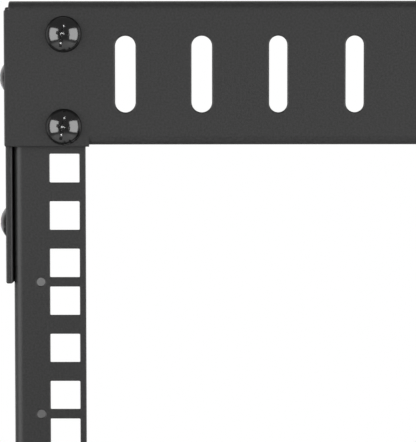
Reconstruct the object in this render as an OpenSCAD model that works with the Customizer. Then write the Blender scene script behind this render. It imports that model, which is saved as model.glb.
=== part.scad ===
// Two-post open frame equipment rack, standing free on four levelling feet.
// Front faces -Y, +Z is up, and the origin is on the floor under the middle of the rack.

/* [Mounting space] */
// Number of rack units between the two beams
rail_units = 25; // [8:1:30]
// Clear width between the two post faces
bay_w = 451; // [450:0.5:453]
// Width of a square mounting hole
hole_w = 10; // [9.5:0.1:10.4]
// Height of a square mounting hole
hole_h = 9.6; // [9.5:0.1:10.2]
// Distance of the mounting holes' centres from the inner edge of a post
hole_inset = 7.05; // [6.8:0.05:7.5]
// Diameter of the small holes that mark each rack unit
marker_d = 2.8; // [2.4:0.1:4]
// Distance of a marker hole outboard of the mounting holes
marker_out = 8; // [7.5:0.05:8.5]

/* [Posts] */
// Sheet thickness of the posts
post_t = 2; // [1.5:0.1:2.5]
// Width of a post's front face
post_face_w = 24.2; // [23:0.1:26]
// Depth of a post's side wall
post_depth = 108; // [64:1:140]
// Outside radius of the post's corner bend
post_bend_r = 3.3; // [2.8:0.1:5]

/* [Beams] */
// Sheet thickness of the beams
beam_t = 2; // [1.5:0.1:2.5]
// Height of a beam's channel
beam_h = 47.7; // [44:0.1:48]
// Height of the flat tabs at a beam's ends
tab_h = 48.4; // [48.1:0.1:50]
// Gap between a tab and the first rack unit
tab_gap = 0.8; // [0.3:0.1:3]
// Outside radius of the beam's bends
beam_bend_r = 3; // [2.6:0.1:4]
// Depth of the narrow flange, behind the front plate
lip_depth = 20; // [12:1:30]
// Distance of the narrow flange from each post
lip_gap = 1.3; // [0.5:0.1:3]
// Width of a slot
slot_w = 6; // [5:0.1:8]
// Width of the two outermost slots at each end
end_slot_w = 6.8; // [5:0.1:8]
// Length of a slot over its round ends
slot_l = 25.4; // [20:0.1:28]
// Distance between slot centres
slot_pitch = 25.4; // [22:0.1:26.5]
// Number of slots in each half of a beam
slot_count = 8; // [4:1:8]
// Distance of a half's outermost slot from the mounting holes' column
slot_start = 20.5; // [18:0.1:30]
// Distance of the slot centres from the beam's outer face
slot_drop = 24.3; // [23:0.1:25]

/* [End plates] */
// Thickness of the end plates welded into the top beam
plate_t = 2.2; // [2:0.1:3]
// Depth below the rack's top that an end plate reaches
plate_h = 94.2; // [90:0.1:110]
// Chamfer of an end plate's lower rear corner
plate_chamfer = 14; // [4:1:16]
// Overhang of the top beam past each end plate
beam_overhang = 0.2; // [0.1:0.1:1]

/* [Feet] */
// Length of a foot, front to back
foot_l = 560; // [440:10:700]
// Sheet thickness of the feet
foot_t = 3; // [2.5:0.1:4]
// Width of a foot's floor flange
foot_flange_w = 70; // [60:1:80]
// Height of a foot's ends
foot_end_h = 38; // [30:1:50]
// Height of the foot beside the post
foot_crest_h = 160; // [150:1:200]
// Distance that the foot's crest runs past the post, front and back
foot_crest_run = 6; // [4:1:20]
// Outside radius of the foot's bends
foot_bend_r = 4.5; // [4:0.1:6]
// Width of the stiffening lips along the foot's slopes
foot_lip_w = 14; // [10:1:20]
// Corner radius of the floor flange
foot_corner_r = 10; // [4:1:14]

/* [Levelling feet] */
// Height of the feet's underside above the floor
foot_lift = 22; // [20.5:0.5:30]
// Diameter of a levelling pad
pad_d = 38; // [30:1:46]
// Height of a levelling pad
pad_h = 12; // [10:0.5:12]
// Thickness of a pad's rim
pad_rim_h = 5; // [3:0.5:6]
// Diameter of a pad's neck
pad_neck_d = 18; // [15:0.5:22]
// Stud diameter
stud_d = 10; // [8:1:12]
// Length of a stud
stud_l = 50; // [45:1:70]
// Width of a nut across its flats
nut_af = 17; // [15:0.5:19]
// Height of a nut
nut_h = 8; // [6:0.5:8]
// Distance of the studs from the ends of a foot
stud_inset = 28; // [24:1:40]

/* [Fixings] */
// Clearance hole for the assembly screws
screw_hole_d = 6.6; // [6.2:0.1:7]
// First screw row, from the rack's top or from the floor flange
first_row = 11.1; // [10:0.1:13]
// Second front screw row
second_row = 41.8; // [38:0.1:43]
// First row of side screws
side_row = 25; // [20:0.5:30]
// Distance between rows of side screws
side_pitch = 49.5; // [40:0.5:52]
// Distance of the side screws from the front and rear of a post
side_inset = 19; // [14:0.5:24]
// Floor anchor hole
anchor_d = 13; // [11:0.5:14]
// Distance of the floor anchors from the ends of a foot
anchor_inset = 75; // [70:1:120]

/* [Hidden] */
$fn = 64;
unit_h = 44.45;
hole_steps = [6.35, 22.225, 38.1];
seat_gap = 0.3;
end_gap = 0.5;
thread_gap = 0.2;
bolt_gap = 0.5;
pierce = 1;
stud_chamfer = 1;
pad_bevel = 1.5;
wide_slots = 2;
foot_rows = 3;
plate_rows = 2;

column_x = bay_w / 2 + hole_inset;
post_x = bay_w / 2 + post_face_w;
plate_x = post_x + seat_gap;
front_y = -post_depth / 2;
back_y = post_depth / 2;
floor_flange_z = foot_lift + foot_t;
edge_drop = tab_h + tab_gap;
rail_z = floor_flange_z + edge_drop;
rail_top_z = rail_z + rail_units * unit_h;
rack_h = rail_top_z + edge_drop;
post_z = floor_flange_z + beam_t + end_gap;
post_top_z = rack_h - beam_t - end_gap;
foot_corner_x = plate_x + foot_t;
foot_crest_z = foot_lift + foot_crest_h;
foot_end_z = foot_lift + foot_end_h;
crest_y = post_depth / 2 + beam_t + foot_crest_run;
slope_run = foot_l / 2 - crest_y;
slope_drop = foot_crest_z - foot_end_z;
slope_angle = atan(slope_drop / slope_run);
slope_lip_h = foot_t / cos(slope_angle);
stud_x = foot_corner_x - foot_flange_w / 2 - foot_bend_r / 2;
stud_y = foot_l / 2 - stud_inset;
anchor_y = foot_l / 2 - anchor_inset;

// A sheet folded through a right angle, seen along the fold: the wall hangs down from the
// fold at the origin, and the flange runs out along +X.
module fold(wall, flange, t, r) {
    translate([0, -wall]) square([t, wall - r]);
    translate([r, -t]) square([flange - r, t]);
    intersection() {
        translate([r, -r]) difference() {
            circle(r);
            circle(r - t);
        }
        translate([0, -r]) square(r);
    }
}

// An obround with its long way up
module obround(w, l) {
    square([w, l - w], center = true);
    for (end = [-1, 1]) {
        translate([0, end * (l - w) / 2]) circle(d = w);
    }
}

// Square mounting holes and unit marker holes, drawn on the front plane
module rail_holes() {
    for (unit = [0 : rail_units - 1], step = hole_steps) {
        translate([-column_x, rail_z + unit * unit_h + step]) square([hole_w, hole_h], center = true);
    }
    for (unit = [1 : rail_units - 1]) {
        translate([-column_x - marker_out, rail_z + unit * unit_h]) circle(d = marker_d);
    }
}

// Two holes in each row, one near the front of the post and one near its rear
module side_holes(rows) {
    for (row = [0 : rows - 1], y = [front_y + side_inset, back_y - side_inset]) {
        translate([y, side_row + row * side_pitch]) circle(d = screw_hole_d);
    }
}

// Extrudes an outline drawn as X and Z, backwards from the plane at y
module stand(y, depth) {
    translate([0, y + depth, 0]) rotate([90, 0, 0]) linear_extrude(depth) children();
}

// Extrudes an outline drawn as Y and Z, to the right from the plane at x
module side_on(x, width) {
    translate([x, 0, 0]) rotate([90, 0, 90]) linear_extrude(width) children();
}

module post() {
    color("#2b2b2d") difference() {
        translate([-post_x, front_y, post_z]) linear_extrude(post_top_z - post_z) {
            mirror([0, 1]) fold(post_depth, post_face_w, post_t, post_bend_r);
        }
        stand(front_y - pierce, post_t + 2 * pierce) {
            rail_holes();
            for (row = [first_row, second_row]) {
                translate([-column_x, floor_flange_z + row]) circle(d = screw_hole_d);
                translate([-column_x, rack_h - row]) circle(d = screw_hole_d);
            }
        }
        side_on(-post_x - pierce, post_t + 2 * pierce) {
            translate([0, floor_flange_z]) side_holes(foot_rows);
            translate([0, rack_h]) mirror([0, 1]) side_holes(plate_rows);
        }
    }
}

// A slotted beam hanging from its outer face at z = 0, behind the front plane.
// half_l is half its length and wide_half is half the length of its wide flange.
module beam(half_l, wide_half) {
    lip_half = bay_w / 2 - lip_gap;
    difference() {
        union() {
            stand(front_y - beam_t, beam_t) {
                for (side = [0, 1]) {
                    mirror([side, 0]) translate([lip_half, -tab_h]) {
                        square([half_l - lip_half, tab_h - beam_bend_r]);
                    }
                }
                translate([-lip_half, beam_bend_r - beam_h]) {
                    square([2 * lip_half, beam_h - 2 * beam_bend_r]);
                }
            }
            side_on(-wide_half, 2 * wide_half) translate([front_y - beam_t, 0]) {
                fold(2 * beam_bend_r, beam_t + post_depth, beam_t, beam_bend_r);
            }
            side_on(-lip_half, 2 * lip_half) translate([front_y - beam_t, -beam_h]) {
                mirror([0, 1]) fold(2 * beam_bend_r, beam_t + lip_depth, beam_t, beam_bend_r);
            }
        }
        stand(front_y - beam_t - pierce, beam_t + 2 * pierce) {
            for (slot = [0 : slot_count - 1], side = [-1, 1]) {
                translate([side * (column_x - slot_start - slot * slot_pitch), -slot_drop]) {
                    obround(slot < wide_slots ? end_slot_w : slot_w, slot_l);
                }
            }
            for (x = [-column_x, column_x], row = [first_row, second_row]) {
                translate([x, -row]) circle(d = screw_hole_d);
            }
        }
    }
}

module top_beam() {
    end_x = plate_x + plate_t + beam_overhang;
    color("#2b2b2d") translate([0, 0, rack_h]) beam(end_x, end_x - beam_bend_r / 2);
}

module bottom_beam() {
    end_x = plate_x - seat_gap;
    color("#2b2b2d") difference() {
        translate([0, 0, floor_flange_z]) mirror([0, 0, 1]) {
            beam(end_x, plate_x + foot_t - foot_bend_r - seat_gap);
        }
        for (x = [-stud_x, stud_x]) {
            translate([x, 0, floor_flange_z - pierce]) cylinder(d = screw_hole_d, h = beam_t + 2 * pierce);
        }
    }
}

module end_plate() {
    bottom = rack_h - plate_h;
    top = rack_h - beam_t;
    color("#2b2b2d") difference() {
        side_on(-plate_x - plate_t, plate_t) polygon([
            [front_y, bottom], [back_y - plate_chamfer, bottom],
            [back_y, bottom + plate_chamfer], [back_y, top], [front_y, top]
        ]);
        side_on(-plate_x - plate_t - pierce, plate_t + 2 * pierce) {
            translate([0, rack_h]) mirror([0, 1]) side_holes(plate_rows);
        }
    }
}

// Side wall of a foot, drawn as Y and Z, down to where its floor fold begins
module foot_wall() {
    polygon([
        [-foot_l / 2, foot_lift + foot_bend_r], [-foot_l / 2, foot_end_z],
        [-crest_y, foot_crest_z], [crest_y, foot_crest_z],
        [foot_l / 2, foot_end_z], [foot_l / 2, foot_lift + foot_bend_r]
    ]);
}

// Edge of the lip that is folded in along each slope, drawn as Y and Z
module slope_lips() {
    for (side = [0, 1]) {
        mirror([side, 0]) polygon([
            [crest_y, foot_crest_z], [foot_l / 2, foot_end_z],
            [foot_l / 2, foot_end_z - slope_lip_h], [crest_y, foot_crest_z - slope_lip_h]
        ]);
    }
}

// Floor flange of a foot, drawn as X and Y with its fold line at x = 0
module floor_flange() {
    width = foot_flange_w - foot_bend_r;
    translate([0, -foot_l / 2]) square([width - foot_corner_r, foot_l]);
    translate([0, foot_corner_r - foot_l / 2]) square([width, foot_l - 2 * foot_corner_r]);
    for (end = [-1, 1]) {
        translate([width - foot_corner_r, end * (foot_l / 2 - foot_corner_r)]) circle(foot_corner_r);
    }
}

module foot() {
    color("#2b2b2d") difference() {
        union() {
            side_on(-foot_corner_x, foot_t) foot_wall();
            translate([-foot_corner_x + foot_bend_r, 0, foot_lift]) linear_extrude(foot_t) floor_flange();
            stand(-foot_l / 2, foot_l) translate([-foot_corner_x, foot_lift]) mirror([0, 1]) {
                fold(2 * foot_bend_r, 2 * foot_bend_r, foot_t, foot_bend_r);
            }
            side_on(-foot_corner_x, foot_lip_w) slope_lips();
        }
        side_on(-foot_corner_x - pierce, foot_t + 2 * pierce) {
            translate([0, floor_flange_z]) side_holes(foot_rows);
        }
        for (y = [-stud_y, stud_y]) {
            translate([-stud_x, y, foot_lift - pierce]) {
                cylinder(d = stud_d + 2 * bolt_gap, h = foot_t + 2 * pierce);
            }
        }
        for (y = [-anchor_y, anchor_y]) {
            translate([-stud_x, y, foot_lift - pierce]) cylinder(d = anchor_d, h = foot_t + 2 * pierce);
        }
        translate([-stud_x, 0, foot_lift - pierce]) cylinder(d = screw_hole_d, h = foot_t + 2 * pierce);
    }
}

// Levelling pad: a flared disc with a socket for the stud
module pad() {
    color("#1c1c1c") rotate_extrude() {
        difference() {
            polygon([
                [0, 0], [pad_d / 2, 0], [pad_d / 2, pad_rim_h - pad_bevel],
                [pad_d / 2 - pad_bevel, pad_rim_h], [pad_neck_d / 2, pad_h - pad_bevel],
                [pad_neck_d / 2 - pad_bevel, pad_h], [0, pad_h]
            ]);
            translate([0, pad_rim_h]) square([stud_d / 2 + thread_gap, pad_h]);
        }
    }
}

module stud() {
    color("#b9bbbe") {
        cylinder(d = stud_d, h = stud_l - stud_chamfer);
        translate([0, 0, stud_l - stud_chamfer]) {
            cylinder(d1 = stud_d, d2 = stud_d - 2 * stud_chamfer, h = stud_chamfer);
        }
    }
}

module nut() {
    color("#b9bbbe") difference() {
        cylinder(d = nut_af / cos(30), h = nut_h, $fn = 6);
        translate([0, 0, -pierce]) cylinder(r = stud_d / 2 + thread_gap, h = nut_h + 2 * pierce);
    }
}

// Puts a piece at one of the four levelling points
module corner(side, end, z) {
    translate([side * stud_x, end * stud_y, z]) children();
}

module left_post() { post(); }
module right_post() { mirror([1, 0, 0]) post(); }
module left_end_plate() { end_plate(); }
module right_end_plate() { mirror([1, 0, 0]) end_plate(); }
module left_foot() { foot(); }
module right_foot() { mirror([1, 0, 0]) foot(); }
module left_front_pad() { corner(-1, -1, 0) pad(); }
module left_rear_pad() { corner(-1, 1, 0) pad(); }
module right_front_pad() { corner(1, -1, 0) pad(); }
module right_rear_pad() { corner(1, 1, 0) pad(); }
module left_front_stud() { corner(-1, -1, pad_rim_h) stud(); }
module left_rear_stud() { corner(-1, 1, pad_rim_h) stud(); }
module right_front_stud() { corner(1, -1, pad_rim_h) stud(); }
module right_rear_stud() { corner(1, 1, pad_rim_h) stud(); }
module left_front_carrying_nut() { corner(-1, -1, foot_lift - nut_h) nut(); }
module left_rear_carrying_nut() { corner(-1, 1, foot_lift - nut_h) nut(); }
module right_front_carrying_nut() { corner(1, -1, foot_lift - nut_h) nut(); }
module right_rear_carrying_nut() { corner(1, 1, foot_lift - nut_h) nut(); }
module left_front_lock_nut() { corner(-1, -1, floor_flange_z) nut(); }
module left_rear_lock_nut() { corner(-1, 1, floor_flange_z) nut(); }
module right_front_lock_nut() { corner(1, -1, floor_flange_z) nut(); }
module right_rear_lock_nut() { corner(1, 1, floor_flange_z) nut(); }

left_post();
right_post();
top_beam();
bottom_beam();
left_end_plate();
right_end_plate();
left_foot();
right_foot();
left_front_pad();
left_rear_pad();
right_front_pad();
right_rear_pad();
left_front_stud();
left_rear_stud();
right_front_stud();
right_rear_stud();
left_front_carrying_nut();
left_rear_carrying_nut();
right_front_carrying_nut();
right_rear_carrying_nut();
left_front_lock_nut();
left_rear_lock_nut();
right_front_lock_nut();
right_rear_lock_nut();
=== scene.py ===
import math

import bpy
from mathutils import Matrix, Vector


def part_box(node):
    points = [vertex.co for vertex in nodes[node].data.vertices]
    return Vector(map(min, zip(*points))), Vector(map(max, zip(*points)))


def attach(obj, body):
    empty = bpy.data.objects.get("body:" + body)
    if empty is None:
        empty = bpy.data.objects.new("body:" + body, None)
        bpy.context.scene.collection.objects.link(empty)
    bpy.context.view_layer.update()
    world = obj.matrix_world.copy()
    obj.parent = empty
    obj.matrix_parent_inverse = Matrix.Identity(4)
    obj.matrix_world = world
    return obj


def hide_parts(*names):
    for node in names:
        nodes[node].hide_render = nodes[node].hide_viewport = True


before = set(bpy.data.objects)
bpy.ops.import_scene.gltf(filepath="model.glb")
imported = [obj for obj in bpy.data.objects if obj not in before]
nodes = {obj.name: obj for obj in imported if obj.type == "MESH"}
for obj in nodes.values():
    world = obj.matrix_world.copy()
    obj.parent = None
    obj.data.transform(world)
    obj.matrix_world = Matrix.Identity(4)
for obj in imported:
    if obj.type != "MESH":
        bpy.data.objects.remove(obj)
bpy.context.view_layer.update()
mm = 0.001


# small helpers
def only(piece):
    if bpy.context.mode != "OBJECT":
        bpy.ops.object.mode_set(mode="OBJECT")
    bpy.ops.object.select_all(action="DESELECT")
    piece.select_set(True)
    bpy.context.view_layer.objects.active = piece


def editAll(piece):
    only(piece)
    bpy.ops.object.mode_set(mode="EDIT")
    bpy.ops.mesh.select_all(action="SELECT")


def objectMode():
    bpy.ops.object.mode_set(mode="OBJECT")


def applied(piece, kind, **settings):
    only(piece)
    modifier = piece.modifiers.new(kind.title(), kind)
    for name, value in settings.items():
        setattr(modifier, name, value)
    bpy.ops.object.modifier_apply(modifier=modifier.name)


def placed(piece, matrix):
    piece.matrix_world = matrix
    only(piece)
    bpy.ops.object.transform_apply(location=True, rotation=True, scale=True)


def dressed(piece, material):
    piece.data.materials.clear()
    piece.data.materials.append(material)
    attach(piece, "root")


# one value in a material, so that shader maths reads as plain maths
class Socket:
    def __init__(self, paint, link):
        self.paint = paint
        self.link = link

    def maths(self, operation, other, swap=False):
        first, second = (other, self) if swap else (self, other)
        return self.paint.node("ShaderNodeMath", {"operation": operation}, {0: first, 1: second})["Value"]

    def __add__(self, other):
        return self.maths("ADD", other)

    __radd__ = __add__

    def __mul__(self, other):
        return self.maths("MULTIPLY", other)

    def __sub__(self, other):
        return self.maths("SUBTRACT", other)

    def __rsub__(self, other):
        return self.maths("SUBTRACT", other, swap=True)


class Paint:
    def __init__(self, tree):
        self.tree = tree
        tree.nodes.clear()

    def node(self, kind, settings=None, inputs=None):
        made = self.tree.nodes.new(kind)
        for name, value in (settings or {}).items():
            setattr(made, name, value)
        for name, value in (inputs or {}).items():
            if isinstance(value, Socket):
                self.tree.links.new(value.link, made.inputs[name])
            else:
                made.inputs[name].default_value = value
        return {output.name: Socket(self, output) for output in made.outputs}


def grey(level):
    return (level, level, level, 1)


# camera, lamps and surroundings: metres from the top beam's front and top, then degrees
cameraAt = {
    "right": -0.1828,
    "front": 0.7000,
    "below": 0.0372,
    "yaw": 0.15,
    "pitch": -2.94,
    "roll": 0.06,
    "lens": 171.4,
}

beamLow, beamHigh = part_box("top_beam")
eye = Vector((cameraAt["right"], beamLow.y - cameraAt["front"], beamHigh.z - cameraAt["below"]))
turn = (
    Matrix.Rotation(math.radians(cameraAt["yaw"]), 4, "Z")
    @ Matrix.Rotation(math.radians(cameraAt["pitch"]), 4, "X")
    @ Matrix.Rotation(math.radians(cameraAt["roll"]), 4, "Y")
    @ Matrix.Rotation(math.radians(90), 4, "X")
)
camera = bpy.data.objects.new("camera", bpy.data.cameras.new("camera"))
bpy.context.scene.collection.objects.link(camera)
camera.matrix_world = Matrix.Translation(eye) @ turn
camera.data.lens = cameraAt["lens"]
camera.data.sensor_width = 36
camera.data.clip_start = 0.05
camera.data.clip_end = 60
bpy.context.scene.camera = camera
bpy.context.scene.view_settings.view_transform = "Standard"

# each lamp: width, height, power in watts, where it stands, what it looks at, spread in degrees
lamps = {
    "leftBox": (1.5, 1.7, 20, (-1.55, -0.95, 1.25), (-0.2, -0.05, 1.15), 180),
    "rightBox": (1.5, 1.7, 20, (1.15, -0.95, 1.25), (-0.2, -0.05, 1.15), 180),
    "frontStrip": (1.6, 0.06, 0.03, (-0.1, -1.45, 1.20), (-0.1, 0.0, 1.20), 14),
    "backBox": (1.6, 1.2, 4, (0.5, 1.9, 1.5), (0.0, 0.0, 0.7), 180),
}
for name, (width, height, power, stand, target, spread) in lamps.items():
    lamp = bpy.data.lights.new(name, "AREA")
    lamp.shape = "RECTANGLE"
    lamp.size = width
    lamp.size_y = height
    lamp.energy = power
    lamp.spread = math.radians(spread)
    holder = bpy.data.objects.new(name, lamp)
    bpy.context.scene.collection.objects.link(holder)
    holder.location = stand
    holder.rotation_mode = "QUATERNION"
    holder.rotation_quaternion = (Vector(target) - Vector(stand)).to_track_quat("-Z", "Y")
    holder.visible_camera = False

# white behind the rack for the camera and for reflections, a dim room everywhere else
world = bpy.data.worlds.new("studio")
bpy.context.scene.world = world
world.use_nodes = True
paint = Paint(world.node_tree)
ray = paint.node("ShaderNodeLightPath")
heading = paint.node("ShaderNodeSeparateXYZ", None, {0: paint.node("ShaderNodeTexCoord")["Generated"]})
rising = paint.node(
    "ShaderNodeMapRange", None, {"Value": heading["Y"], "From Min": 0.2, "From Max": 0.6}
)["Result"]
falling = paint.node(
    "ShaderNodeMapRange", None, {"Value": heading["Y"], "From Min": 0.88, "From Max": 0.98}
)["Result"]
backdrop = rising * (1 - falling)
larger = {"operation": "MAXIMUM"}
mirrored = paint.node("ShaderNodeMath", larger, {0: ray["Is Glossy Ray"], 1: ray["Is Transmission Ray"]})
seen = paint.node("ShaderNodeMath", larger, {0: ray["Is Camera Ray"], 1: mirrored["Value"] * backdrop})
room = paint.node("ShaderNodeBackground", None, {"Color": grey(0.16), "Strength": 1})
white = paint.node("ShaderNodeBackground", None, {"Color": grey(1), "Strength": 1})
mixed = paint.node("ShaderNodeMixShader", None, {0: seen["Value"], 1: room["Background"], 2: white["Background"]})
paint.node("ShaderNodeOutputWorld", None, {"Surface": mixed["Shader"]})

# pale floor that fades to the white backdrop, well away from the rack
only(nodes["top_beam"])
bpy.ops.mesh.primitive_circle_add(vertices=96, radius=4, fill_type="NGON", location=(0, 0, 0))
floor = bpy.context.object
floor.name = "floor"
floorMaterial = bpy.data.materials.new("paleFloor")
floorMaterial.use_nodes = True
paint = Paint(floorMaterial.node_tree)
place = paint.node("ShaderNodeTexCoord")["Object"]
away = paint.node("ShaderNodeVectorMath", {"operation": "LENGTH"}, {0: place})["Value"]
fade = paint.node(
    "ShaderNodeMapRange",
    {"interpolation_type": "SMOOTHSTEP"},
    {"Value": away, "From Min": 0.5, "From Max": 1.6},
)["Result"]
ray = paint.node("ShaderNodeLightPath")
matt = paint.node("ShaderNodeBsdfDiffuse", None, {"Color": grey(0.82)})
glow = paint.node("ShaderNodeEmission", None, {"Color": grey(1), "Strength": 1})
mixed = paint.node("ShaderNodeMixShader", None, {0: fade * ray["Is Camera Ray"], 1: matt["BSDF"], 2: glow["Emission"]})
paint.node("ShaderNodeOutputMaterial", None, {"Surface": mixed["Shader"]})
floor.data.materials.append(floorMaterial)
print("studio ready")


# finishes
def finish(name):
    material = bpy.data.materials.new(name)
    material.use_nodes = True
    return material, Paint(material.node_tree)


powder = {
    "level": 0.034,
    "darkest": 0.75,
    "palest": 1.3,
    "roughness": 0.44,
    "roughnessRange": 0.18,
    "grain": 1500,
    "grainDepth": 0.00006,
    "orangePeel": 420,
}

powderCoat, paint = finish("texturedPowderCoat")
place = paint.node("ShaderNodeTexCoord")["Object"]
grain = paint.node(
    "ShaderNodeTexNoise",
    None,
    {"Vector": place, "Scale": powder["grain"], "Detail": 2.0, "Roughness": 0.6},
)["Fac"]
peel = paint.node("ShaderNodeTexNoise", None, {"Vector": place, "Scale": powder["orangePeel"], "Detail": 1.0})["Fac"]
relief = grain * 0.75 + peel * 0.5
bump = paint.node(
    "ShaderNodeBump", None, {"Height": relief, "Strength": 1.0, "Distance": powder["grainDepth"]}
)["Normal"]
shade = paint.node(
    "ShaderNodeMapRange",
    None,
    {
        "Value": grain,
        "From Min": 0.3,
        "From Max": 0.7,
        "To Min": powder["level"] * powder["darkest"],
        "To Max": powder["level"] * powder["palest"],
    },
)["Result"]
tone = paint.node("ShaderNodeCombineColor", None, {0: shade, 1: shade, 2: shade})["Color"]
gloss = powder["roughness"] + (grain - 0.5) * powder["roughnessRange"]
surface = paint.node(
    "ShaderNodeBsdfPrincipled", None, {"Base Color": tone, "Roughness": gloss, "Normal": bump, "IOR": 1.5}
)
paint.node("ShaderNodeOutputMaterial", None, {"Surface": surface["BSDF"]})

nickel = {"level": 0.13, "roughness": 0.13}
blackNickel, paint = finish("blackNickel")
place = paint.node("ShaderNodeTexCoord")["Object"]
haze = paint.node("ShaderNodeTexNoise", None, {"Vector": place, "Scale": 900, "Detail": 2.0})["Fac"]
bump = paint.node("ShaderNodeBump", None, {"Height": haze, "Strength": 0.6, "Distance": 0.00001})["Normal"]
surface = paint.node(
    "ShaderNodeBsdfPrincipled",
    None,
    {
        "Base Color": grey(nickel["level"]),
        "Metallic": 1.0,
        "Roughness": nickel["roughness"] + (haze - 0.5) * 0.08,
        "Normal": bump,
    },
)
paint.node("ShaderNodeOutputMaterial", None, {"Surface": surface["BSDF"]})

zincPlate, paint = finish("zincPlate")
place = paint.node("ShaderNodeTexCoord")["Object"]
haze = paint.node("ShaderNodeTexNoise", None, {"Vector": place, "Scale": 350, "Detail": 3.0})["Fac"]
bump = paint.node("ShaderNodeBump", None, {"Height": haze, "Strength": 0.5, "Distance": 0.00002})["Normal"]
surface = paint.node(
    "ShaderNodeBsdfPrincipled",
    None,
    {"Base Color": (0.62, 0.63, 0.64, 1), "Metallic": 1.0, "Roughness": 0.3 + (haze - 0.5) * 0.2, "Normal": bump},
)
paint.node("ShaderNodeOutputMaterial", None, {"Surface": surface["BSDF"]})

padRubber, paint = finish("padRubber")
place = paint.node("ShaderNodeTexCoord")["Object"]
haze = paint.node("ShaderNodeTexNoise", None, {"Vector": place, "Scale": 1200, "Detail": 2.0})["Fac"]
bump = paint.node("ShaderNodeBump", None, {"Height": haze, "Strength": 0.8, "Distance": 0.00003})["Normal"]
surface = paint.node(
    "ShaderNodeBsdfPrincipled",
    None,
    {"Base Color": grey(0.028), "Roughness": 0.62 + (haze - 0.5) * 0.2, "Normal": bump},
)
paint.node("ShaderNodeOutputMaterial", None, {"Surface": surface["BSDF"]})
print("finishes ready")


# sheet metal: angles in degrees, lengths in millimetres
edges = {
    "weld": 0.002,
    "flatAngle": 0.6,
    "sharpAngle": 40,
    "segments": 3,
    "holeEdge": 0.3,
    "stepReach": 0.9,
    "stepHeight": 5,
}


# a copy of one sheet with rounded, coated edges; an edge at one of the steps stays sharp
def pressed(node, rim, plain, steps=()):
    sheet = nodes[node].copy()
    sheet.data = nodes[node].data.copy()
    sheet.name = node + "_coated"
    bpy.context.scene.collection.objects.link(sheet)
    sheet.parent = None
    sheet.matrix_world = Matrix.Identity(4)
    editAll(sheet)
    bpy.ops.mesh.customdata_custom_splitnormals_clear()
    bpy.ops.mesh.remove_doubles(threshold=edges["weld"] * mm)
    bpy.ops.mesh.dissolve_limited(angle_limit=math.radians(edges["flatAngle"]))
    bpy.ops.mesh.select_mode(type="EDGE")
    bpy.ops.mesh.select_all(action="DESELECT")
    bpy.ops.mesh.edges_select_sharp(sharpness=math.radians(edges["sharpAngle"]))
    objectMode()
    weights = sheet.data.attributes.new("bevel_weight_edge", "FLOAT", "EDGE")
    for edge in sheet.data.edges:
        if not edge.select:
            continue
        ends = [sheet.data.vertices[index].co for index in edge.vertices]
        short = (ends[0] - ends[1]).length < edges["holeEdge"] * mm
        atStep = any(
            all(
                abs(abs(end.x) - x) < edges["stepReach"] * mm and abs(end.z - z) < edges["stepHeight"] * mm
                for end in ends
            )
            for x, z in steps
        )
        weights.data[edge.index].value = 0 if atStep else 1 if short else plain
    applied(
        sheet,
        "BEVEL",
        width=rim,
        segments=edges["segments"],
        limit_method="WEIGHT",
        loop_slide=False,
        use_clamp_overlap=False,
    )
    bpy.ops.object.shade_smooth_by_angle(angle=math.radians(edges["sharpAngle"]))
    applied(sheet, "WEIGHTED_NORMAL", mode="FACE_AREA", weight=100, keep_sharp=True)
    applied(sheet, "TRIANGULATE", ngon_method="BEAUTY", keep_custom_normals=True)
    dressed(sheet, powderCoat)
    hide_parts(node)


beamStep = 224.2 * mm
topStep = [(beamStep, beamLow.z)]
lowStep = [(beamStep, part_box("bottom_beam")[1].z)]
pressed("top_beam", 0.6 * mm, plain=1, steps=topStep)
pressed("bottom_beam", 0.6 * mm, plain=1, steps=lowStep)
for side in ("left", "right"):
    pressed(side + "_post", 0.45 * mm, plain=0.7)
    pressed(side + "_end_plate", 0.6 * mm, plain=1)
    pressed(side + "_foot", 0.8 * mm, plain=1)
print("sheet metal ready")

for name, node in nodes.items():
    if name.endswith("_pad"):
        finishOf = padRubber
    elif name.endswith("_stud") or name.endswith("_nut"):
        finishOf = zincPlate
    else:
        continue
    node.data.materials.clear()
    node.data.materials.append(finishOf)


# domed screws with a slot and a cross, in millimetres, turned in degrees
screw = {
    "width": 12.1,
    "dome": 3.3,
    "rim": 0.35,
    "slotWidth": 1.0,
    "slotLength": 10.0,
    "slotDepth": 1.5,
    "crossWidth": 1.3,
    "crossLength": 4.9,
    "crossDepth": 2.1,
    "edge": 0.13,
    "turn": -12,
}


def cutter(width, length, depth, top, turnBy, taper):
    bpy.ops.mesh.primitive_cube_add(size=1, location=(0, 0, top - depth / 2 + 1 * mm))
    block = bpy.context.object
    block.scale = (width, length, depth + 2 * mm)
    block.rotation_euler.z = math.radians(turnBy)
    bpy.ops.object.transform_apply(location=False, rotation=True, scale=True)
    bpy.ops.object.transform_apply(location=True, rotation=False, scale=False)
    for vertex in block.data.vertices:
        if vertex.co.z < top:
            vertex.co.x *= taper
            vertex.co.y *= taper
    return block


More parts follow.
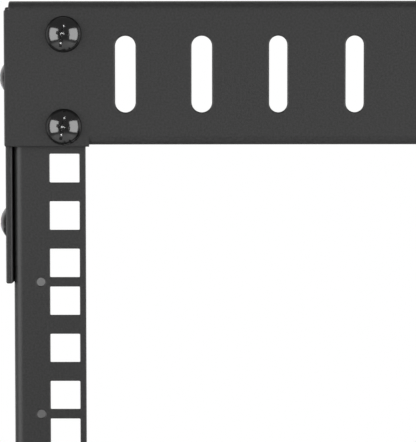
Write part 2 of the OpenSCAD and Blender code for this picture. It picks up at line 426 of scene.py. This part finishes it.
def screwHead():
    width, dome = screw["width"] * mm, screw["dome"] * mm
    ball = (width * width / 4 + dome * dome) / (2 * dome)
    bpy.ops.object.select_all(action="DESELECT")
    bpy.ops.mesh.primitive_uv_sphere_add(segments=64, ring_count=56, radius=ball, location=(0, 0, dome - ball))
    head = bpy.context.object
    bpy.ops.object.transform_apply(location=True, rotation=False, scale=False)
    editAll(head)
    bpy.ops.mesh.bisect(plane_co=(0, 0, 0), plane_no=(0, 0, 1), clear_inner=True, use_fill=True)
    objectMode()
    for vertex in head.data.vertices:
        vertex.co.z += screw["rim"] * mm if vertex.co.z > 0.00001 else 0
    top = dome + screw["rim"] * mm
    tools = [
        cutter(screw["slotWidth"] * mm, screw["slotLength"] * mm, screw["slotDepth"] * mm, top, screw["turn"], 1),
        cutter(screw["crossLength"] * mm, screw["crossWidth"] * mm, screw["crossDepth"] * mm, top, screw["turn"], 0.7),
        cutter(screw["crossWidth"] * mm, screw["crossLength"] * mm, screw["crossDepth"] * mm, top, screw["turn"], 0.7),
    ]
    for tool in tools:
        applied(head, "BOOLEAN", operation="DIFFERENCE", object=tool, solver="EXACT")
        bpy.data.objects.remove(tool)
    applied(
        head,
        "BEVEL",
        width=screw["edge"] * mm,
        segments=2,
        limit_method="ANGLE",
        angle_limit=math.radians(35),
        use_clamp_overlap=True,
    )
    bpy.ops.object.shade_smooth_by_angle(angle=math.radians(30))
    return head


head = screwHead()
head.name = "screw_pattern"


def addScrew(name, at, facing, spin=0):
    piece = head.copy()
    piece.data = head.data.copy()
    piece.name = name
    bpy.context.scene.collection.objects.link(piece)
    out = Vector(facing)
    up = Vector((0, 0, 1)) if abs(out.z) < 0.5 else Vector((0, 1, 0))
    side = up.cross(out).normalized()
    frameOf = Matrix((side, out.cross(side), out)).transposed().to_4x4()
    placed(piece, Matrix.Translation(Vector(at)) @ frameOf @ Matrix.Rotation(math.radians(spin), 4, "Z"))
    dressed(piece, blackNickel)


# where the screws stand, in millimetres
fixing = {
    "columnX": 232.55,
    "firstRow": 11.1,
    "secondRow": 41.8,
    "sideRow": 25,
    "sidePitch": 49.5,
    "sideInset": 19,
}

postLow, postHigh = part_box("left_post")
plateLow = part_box("left_end_plate")[0]
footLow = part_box("left_foot")[0]
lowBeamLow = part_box("bottom_beam")[0]
for side, word in ((-1, "left"), (1, "right")):
    x = side * fixing["columnX"] * mm
    for row, rowWord in (("firstRow", "upper"), ("secondRow", "lower")):
        drop = fixing[row] * mm
        addScrew("%s_%s_beam_screw" % (word, rowWord), (x, beamLow.y, beamHigh.z - drop), (0, -1, 0))
        addScrew("%s_%s_base_screw" % (word, rowWord), (x, lowBeamLow.y, lowBeamLow.z + drop), (0, -1, 0), 40)
    inset = fixing["sideInset"] * mm
    for depth, y in (("front", postLow.y + inset), ("rear", postHigh.y - inset)):
        for row in range(2):
            z = beamHigh.z - (fixing["sideRow"] + row * fixing["sidePitch"]) * mm
            name = "%s_%s_plate_screw_%d" % (word, depth, row + 1)
            addScrew(name, (side * -plateLow.x, y, z), (side, 0, 0), 25 * row)
        for row in range(3):
            z = lowBeamLow.z + (fixing["sideRow"] + row * fixing["sidePitch"]) * mm
            name = "%s_%s_foot_screw_%d" % (word, depth, row + 1)
            addScrew(name, (side * -footLow.x, y, z), (side, 0, 0), 70 - 30 * row)
bpy.data.objects.remove(head)
print("screws ready")
